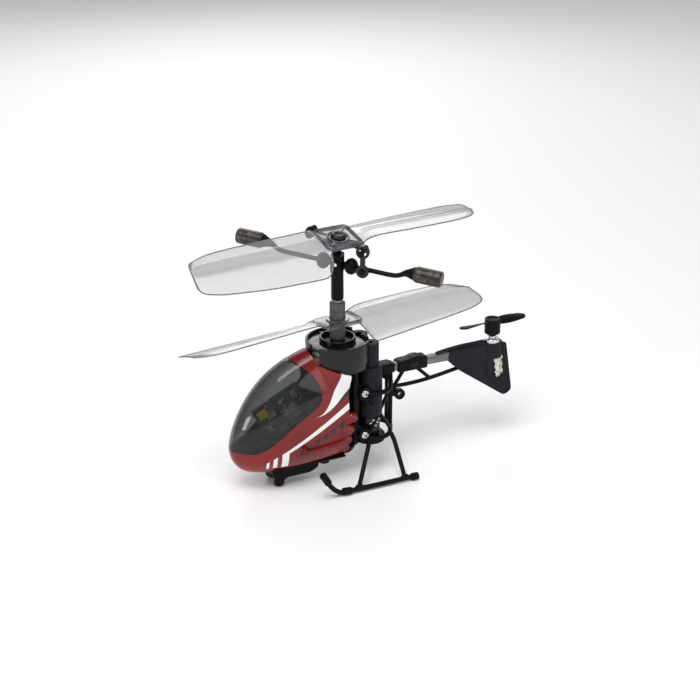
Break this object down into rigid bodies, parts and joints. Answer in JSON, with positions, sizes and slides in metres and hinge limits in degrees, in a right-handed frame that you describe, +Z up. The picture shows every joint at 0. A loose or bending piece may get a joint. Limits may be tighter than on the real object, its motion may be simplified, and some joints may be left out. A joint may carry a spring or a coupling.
{
  "type": "remote control helicopter",
  "caption": "Palm-size toy helicopter with twin coaxial rotors, weighted flybar, smoke canopy, tail boom with fin and lifting tail rotor, and wire skids",
  "frame": {"origin": "on the ground plane, on the axis of the main rotor shaft", "axes": "+X to the nose, +Y to the left side, +Z up along the rotor shaft"},
  "size_m": [0.0791, 0.0335, 0.053],
  "materials": {
    "shell_red": "high gloss metallic-red moulding with white stripes",
    "windscreen": "smoke-tinted clear plastic",
    "frame_black": "satin black nylon moulding",
    "rotor_black": "satin black moulding",
    "guard_black": "semi-gloss black sleeve",
    "sleeve_grey": "dark grey semi-matt sleeve",
    "blade_clear": "clear flexible plastic",
    "gear_nylon": "natural nylon",
    "steel": "bright steel",
    "brass": "plain brass",
    "weight_metal": "dark speckled cast weight",
    "boom_grey": "dark grey anodised tube",
    "board_green": "green lacquered circuit board",
    "chips": "moulded and plated parts",
    "yellow_part": "yellow sleeve",
    "eye_dark": "dark infrared lens",
    "battery_foil": "foil pouch",
    "wire_skin": "thin black insulation"
  },
  "bodies": {
    "airframe": {"fuselage_shell_left": "shell_red", "fuselage_shell_right": "shell_red", "canopy": "windscreen", "belly_tray": "frame_black", "front_foot": "frame_black", "charge_socket": "frame_black", "battery": "battery_foil", "circuit_board": "board_green", "board_chips": "chips", "board_standoff": "frame_black", "capacitor": "yellow_part", "infrared_eye": "eye_dark", "gear_housing": "frame_black", "upper_bush": "rotor_black", "lower_bush": "brass", "frame_left": "frame_black", "frame_right": "frame_black", "frame_screws": "steel", "motor_seat": "frame_black", "motor_left": "steel", "motor_right": "steel", "motor_guard_left": "guard_black", "motor_guard_right": "guard_black", "boom_socket": "frame_black", "tail_boom": "boom_grey", "tail_brace": "frame_black", "tail_fin": "frame_black", "tail_motor": "steel", "tail_wires": "wire_skin", "skid_left": "frame_black", "skid_right": "frame_black", "skid_sleeves": "sleeve_grey"},
    "lower_rotor": {"outer_shaft": "steel", "sleeve_collar": "sleeve_grey", "sleeve_nut": "sleeve_grey", "lower_rotor_blades": "blade_clear", "upper_gear": "gear_nylon"},
    "rotor_mast": {"inner_shaft": "steel", "lower_gear": "gear_nylon", "rotor_head": "rotor_black", "teeter_pin": "steel", "feather_pin": "steel"},
    "flybar": {"flybar": "rotor_black", "flybar_weights": "weight_metal"},
    "link": {"flybar_link": "rotor_black"},
    "upper_rotor": {"upper_rotor_yoke": "rotor_black", "upper_rotor_blades": "blade_clear", "rotor_cap": "rotor_black"},
    "pinion_left": {"pinion_left": "brass"},
    "pinion_right": {"pinion_right": "brass"},
    "tail_rotor": {"tail_rotor": "rotor_black"},
    "switch": {"switch_slider": "frame_black"}
  },
  "joints": [
    {"name": "lower_rotor_spin", "type": "hinge", "parent": "airframe", "child": "lower_rotor", "pos_m": [0, 0, 0.0336], "axis": [0, 0, 1], "continuous": true},
    {"name": "upper_mast_spin", "type": "hinge", "parent": "airframe", "child": "rotor_mast", "pos_m": [0, 0, 0.041], "axis": [0, 0, 1], "continuous": true},
    {"name": "flybar_teeter", "type": "hinge", "parent": "rotor_mast", "child": "flybar", "pos_m": [0, 0, 0.0458], "axis": [0.7193, 0.6947, 0], "range_deg": [-7, 17]},
    {"name": "link_swing", "type": "hinge", "parent": "flybar", "child": "link", "pos_m": [-0.00308, 0.0052, 0.04529], "axis": [0.7193, 0.6947, 0], "range_deg": [-18, 8]},
    {"name": "upper_rotor_feather", "type": "hinge", "parent": "rotor_mast", "child": "upper_rotor", "pos_m": [0, 0, 0.0497], "axis": [0.9962, 0.0872, 0], "range_deg": [-12, 26]},
    {"name": "pinion_left_spin", "type": "hinge", "parent": "airframe", "child": "pinion_left", "pos_m": [-0.00613, 0.00266, 0.02775], "axis": [0, 0, 1], "continuous": true},
    {"name": "pinion_right_spin", "type": "hinge", "parent": "airframe", "child": "pinion_right", "pos_m": [-0.00613, -0.00266, 0.02595], "axis": [0, 0, 1], "continuous": true},
    {"name": "tail_rotor_spin", "type": "hinge", "parent": "airframe", "child": "tail_rotor", "pos_m": [-0.0363, 0, 0.0269], "axis": [0, 0, 1], "continuous": true},
    {"name": "switch_slide", "type": "slide", "parent": "airframe", "child": "switch", "axis": [1, 0, 0], "range_m": [0, 0.001]}
  ],
  "couplings": [
    {"joint": "pinion_left_spin", "follows": "lower_rotor_spin", "ratio": -4.8889},
    {"joint": "pinion_right_spin", "follows": "upper_mast_spin", "ratio": -4.8889},
    {"joint": "link_swing", "follows": "flybar_teeter", "ratio": -1},
    {"joint": "upper_rotor_feather", "follows": "flybar_teeter", "ratio": 1.1035}
  ]
}
